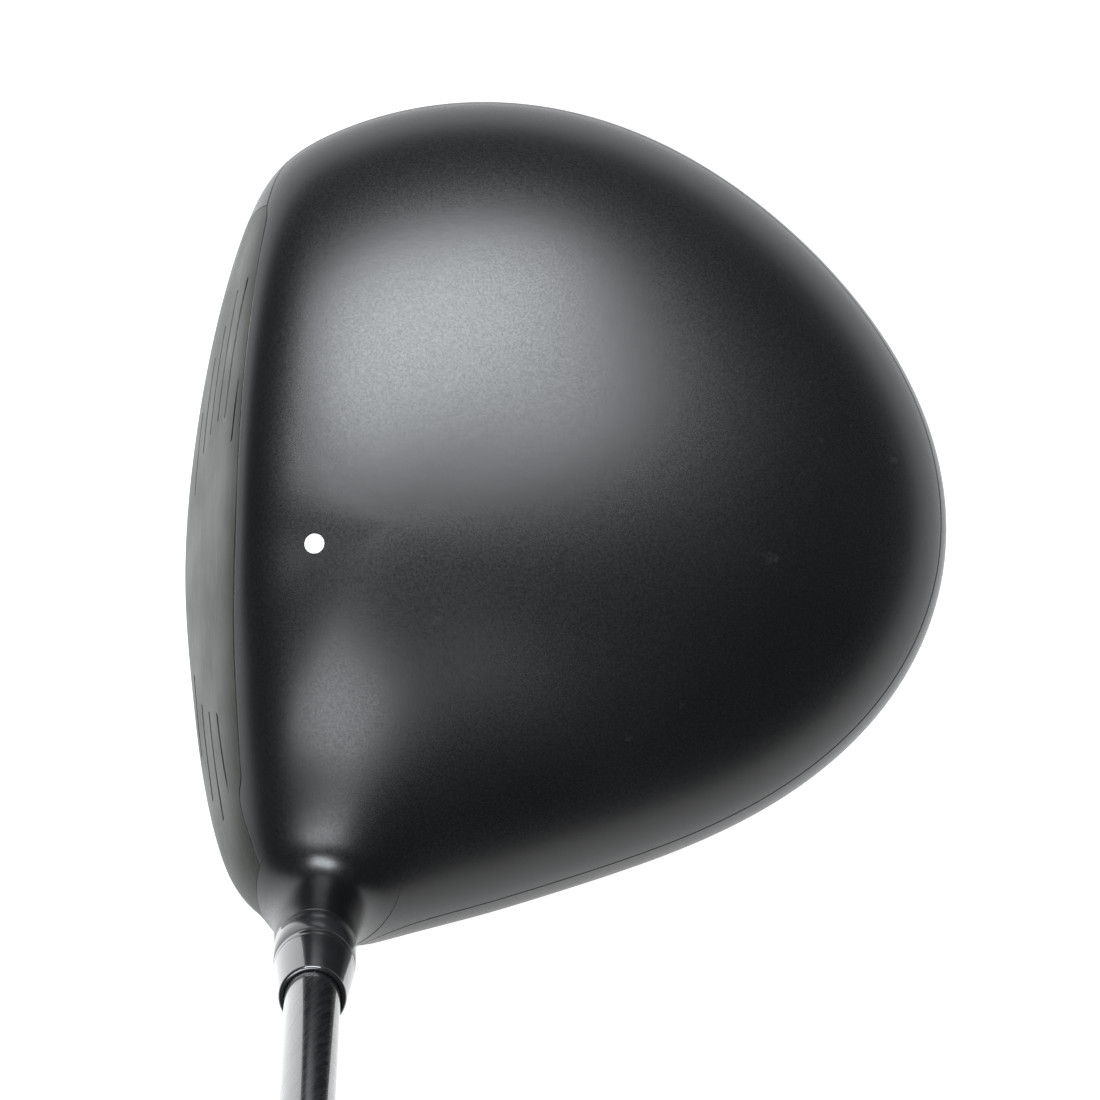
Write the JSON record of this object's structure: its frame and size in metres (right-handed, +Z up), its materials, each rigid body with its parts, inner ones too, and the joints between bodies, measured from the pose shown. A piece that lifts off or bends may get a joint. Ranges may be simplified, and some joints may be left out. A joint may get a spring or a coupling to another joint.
{
  "type": "golf driver",
  "caption": "Hollow satin black driver head with a grooved metal face, on an adjustable sleeve, tapered shaft and rubber grip.",
  "frame": {"origin": "middle of the flat patch under the sole, where the club rests on the ground at address", "axes": "+Z up, -X towards the target, +Y towards the toe, -Y towards the player"},
  "size_m": [0.1177, 0.7031, 1.0027],
  "materials": {
    "face_metal": "brushed, dark, toe to heel",
    "crown_paint": "satin black paint with a fine grain",
    "body_paint": "satin black paint",
    "sole_paint": "satin black paint",
    "port_metal": "machined",
    "dot_white": "matte white",
    "weight_metal": "turned",
    "screw_metal": "black oxide",
    "washer_metal": "plain",
    "sleeve_black": "gloss black anodised",
    "ferrule_plastic": "polished black",
    "shaft_paint": "gloss black over graphite",
    "plug_plastic": "plain",
    "grip_tape": "paper backed",
    "grip_rubber": "textured"
  },
  "bodies": {
    "shaft": {"shaft": "shaft_paint", "shaft_tip_plug": "plug_plastic", "hosel_sleeve": "sleeve_black", "ferrule": "ferrule_plastic", "grip_tape": "grip_tape", "grip": "grip_rubber", "grip_cap": "grip_rubber"},
    "head": {"face_plate": "face_metal", "crown": "crown_paint", "body_skirt": "body_paint", "sole_plate": "sole_paint", "hosel": "body_paint", "front_weight_port": "port_metal", "rear_weight_port": "port_metal", "alignment_dot": "dot_white"},
    "bolt_washer": {"hosel_washer": "washer_metal"},
    "bolt": {"hosel_bolt": "screw_metal"},
    "rear_weight": {"rear_weight": "weight_metal"},
    "rear_screw": {"rear_weight_screw": "screw_metal"},
    "front_weight": {"front_weight": "weight_metal"},
    "front_screw": {"front_weight_screw": "screw_metal"}
  },
  "joints": [
    {"name": "head_release", "type": "slide", "parent": "shaft", "child": "head", "axis": [0, 0.5075, -0.8616], "range_m": [0, 0.036]},
    {"name": "bolt_travel", "type": "slide", "parent": "head", "child": "bolt_washer", "axis": [0, 0.5075, -0.8616], "range_m": [0, 0.0064]},
    {"name": "bolt_turn", "type": "hinge", "parent": "bolt_washer", "child": "bolt", "pos_m": [-0.012, -0.04315, 0.01723], "axis": [0, 0.5075, -0.8616], "range_deg": [0, 2880]},
    {"name": "rear_weight_travel", "type": "slide", "parent": "head", "child": "rear_weight", "axis": [0.2924, 0, -0.9563], "range_m": [0, 0.0048]},
    {"name": "rear_screw_turn", "type": "hinge", "parent": "rear_weight", "child": "rear_screw", "pos_m": [0.057, 0.002, 0.00704], "axis": [0.2924, 0, -0.9563], "range_deg": [0, 2160]},
    {"name": "front_weight_travel", "type": "slide", "parent": "head", "child": "front_weight", "axis": [-0.1564, 0, -0.9877], "range_m": [0, 0.0048]},
    {"name": "front_screw_turn", "type": "hinge", "parent": "front_weight", "child": "front_screw", "pos_m": [-0.0195, -0.003, 0.00256], "axis": [-0.1564, 0, -0.9877], "range_deg": [0, 2160]}
  ],
  "couplings": [
    {"joint": "bolt_turn", "follows": "bolt_travel", "rad_per_m": 7854},
    {"joint": "rear_screw_turn", "follows": "rear_weight_travel", "rad_per_m": 7854},
    {"joint": "front_screw_turn", "follows": "front_weight_travel", "rad_per_m": 7854}
  ]
}
